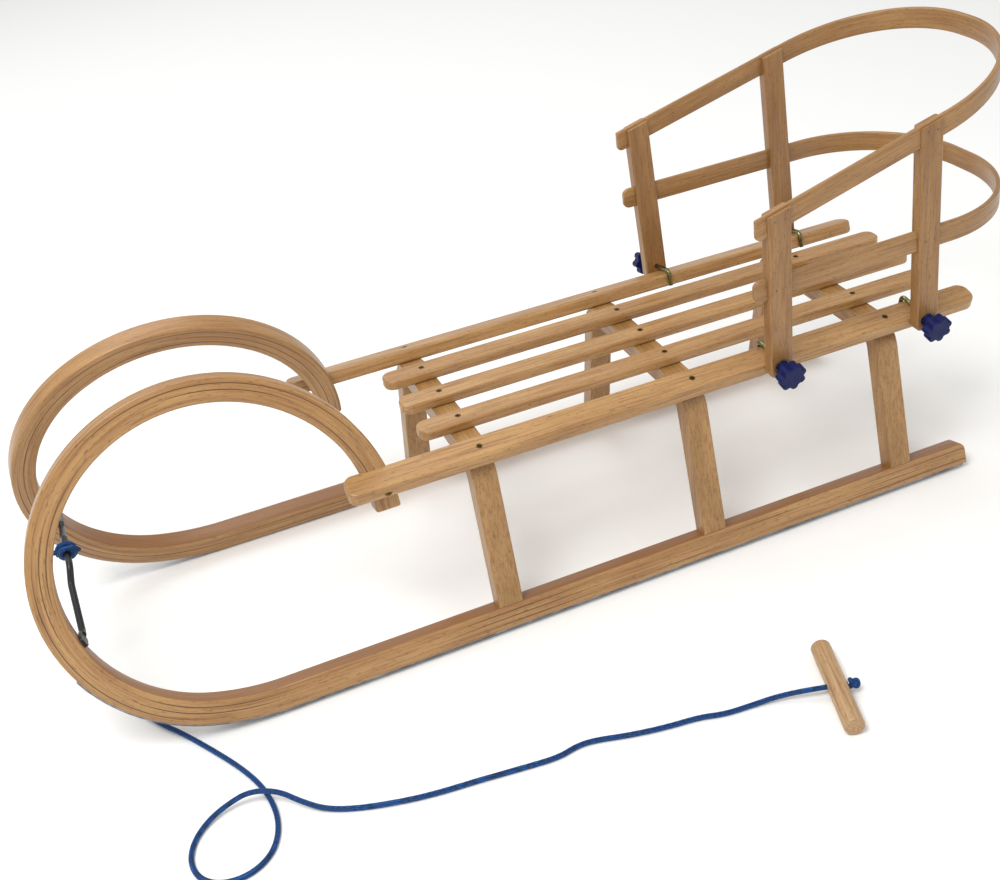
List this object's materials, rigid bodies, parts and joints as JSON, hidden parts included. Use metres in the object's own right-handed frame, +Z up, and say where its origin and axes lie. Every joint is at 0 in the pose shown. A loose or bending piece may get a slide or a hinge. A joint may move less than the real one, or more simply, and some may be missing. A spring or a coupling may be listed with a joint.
{
  "type": "wooden horn sledge",
  "caption": "Wooden sledge with steel-shod runners curling up into horns, slatted seat on bent arches, a clamp-on child backrest and a blue pull rope.",
  "frame": {"origin": "on the ground under the centre of the sledge's bounding box, pull rope and its handle left out", "axes": "+X forwards towards the horns, +Y to the sledge's own left, +Z up"},
  "size_m": [1.3401, 0.7386, 0.5759],
  "materials": {
    "beech": "clear varnished",
    "handle_wood": "clear varnished",
    "shoe_steel": "plain rolled",
    "screw_metal": "yellow zinc plated",
    "brace_lacquer": "gloss black",
    "yellow_zinc": "yellow zinc plated",
    "washer_zinc": "zinc plated",
    "knob_plastic": "moulded dark blue",
    "rope_blue": "braided"
  },
  "bodies": {
    "sledge": {"runner_left": "beech", "runner_right": "beech", "shoe_left": "shoe_steel", "shoe_right": "shoe_steel", "front_arch": "beech", "middle_arch": "beech", "rear_arch": "beech", "side_rail_left": "beech", "side_rail_right": "beech", "slat_left": "beech", "slat_middle": "beech", "slat_right": "beech", "seat_screws": "screw_metal", "horn_screws": "screw_metal", "shoe_screws": "screw_metal", "leg_screws": "screw_metal", "front_brace": "brace_lacquer", "brace_screws": "screw_metal", "brace_knot": "rope_blue", "pull_rope": "rope_blue", "rope_handle": "handle_wood", "handle_knot": "rope_blue"},
    "backrest": {"front_post_left": "beech", "front_post_right": "beech", "rear_post_left": "beech", "rear_post_right": "beech", "upper_hoop": "beech", "lower_hoop": "beech", "hoop_nails": "screw_metal", "knob_washers": "washer_zinc"},
    "front_clamp_knob_left": {"front_knob_left": "knob_plastic"},
    "front_clamp_hook_left": {"front_hook_bolt_left": "yellow_zinc"},
    "front_clamp_knob_right": {"front_knob_right": "knob_plastic"},
    "front_clamp_hook_right": {"front_hook_bolt_right": "yellow_zinc"},
    "rear_clamp_knob_left": {"rear_knob_left": "knob_plastic"},
    "rear_clamp_hook_left": {"rear_hook_bolt_left": "yellow_zinc"},
    "rear_clamp_knob_right": {"rear_knob_right": "knob_plastic"},
    "rear_clamp_hook_right": {"rear_hook_bolt_right": "yellow_zinc"}
  },
  "joints": [
    {"name": "backrest_slide", "type": "slide", "parent": "sledge", "child": "backrest", "axis": [1, 0, 0], "range_m": [-0.075, 0.02]},
    {"name": "front_knob_turn_left", "type": "hinge", "parent": "backrest", "child": "front_clamp_knob_left", "pos_m": [-0.25714, 0.16748, 0.24722], "axis": [0, 0.9781, -0.2079], "range_deg": [0, 1800]},
    {"name": "front_hook_draw_left", "type": "slide", "parent": "backrest", "child": "front_clamp_hook_left", "axis": [0, -0.9781, 0.2079], "range_m": [0, 0.00501]},
    {"name": "front_knob_turn_right", "type": "hinge", "parent": "backrest", "child": "front_clamp_knob_right", "pos_m": [-0.25714, -0.16748, 0.24722], "axis": [0, -0.9781, -0.2079], "range_deg": [0, 1800]},
    {"name": "front_hook_draw_right", "type": "slide", "parent": "backrest", "child": "front_clamp_hook_right", "axis": [0, 0.9781, 0.2079], "range_m": [0, 0.00501]},
    {"name": "rear_knob_turn_left", "type": "hinge", "parent": "backrest", "child": "rear_clamp_knob_left", "pos_m": [-0.47664, 0.16747, 0.24722], "axis": [0, 0.9781, -0.2079], "range_deg": [0, 1800]},
    {"name": "rear_hook_draw_left", "type": "slide", "parent": "backrest", "child": "rear_clamp_hook_left", "axis": [0, -0.9781, 0.2079], "range_m": [0, 0.00501]},
    {"name": "rear_knob_turn_right", "type": "hinge", "parent": "backrest", "child": "rear_clamp_knob_right", "pos_m": [-0.47664, -0.16747, 0.24722], "axis": [0, -0.9781, -0.2079], "range_deg": [0, 1800]},
    {"name": "rear_hook_draw_right", "type": "slide", "parent": "backrest", "child": "rear_clamp_hook_right", "axis": [0, 0.9781, 0.2079], "range_m": [0, 0.00501]}
  ],
  "couplings": [
    {"joint": "front_hook_draw_left", "follows": "front_knob_turn_left", "m_per_rad": 0.00015915},
    {"joint": "front_hook_draw_right", "follows": "front_knob_turn_right", "m_per_rad": 0.00015915},
    {"joint": "rear_hook_draw_left", "follows": "rear_knob_turn_left", "m_per_rad": 0.00015915},
    {"joint": "rear_hook_draw_right", "follows": "rear_knob_turn_right", "m_per_rad": 0.00015915}
  ]
}
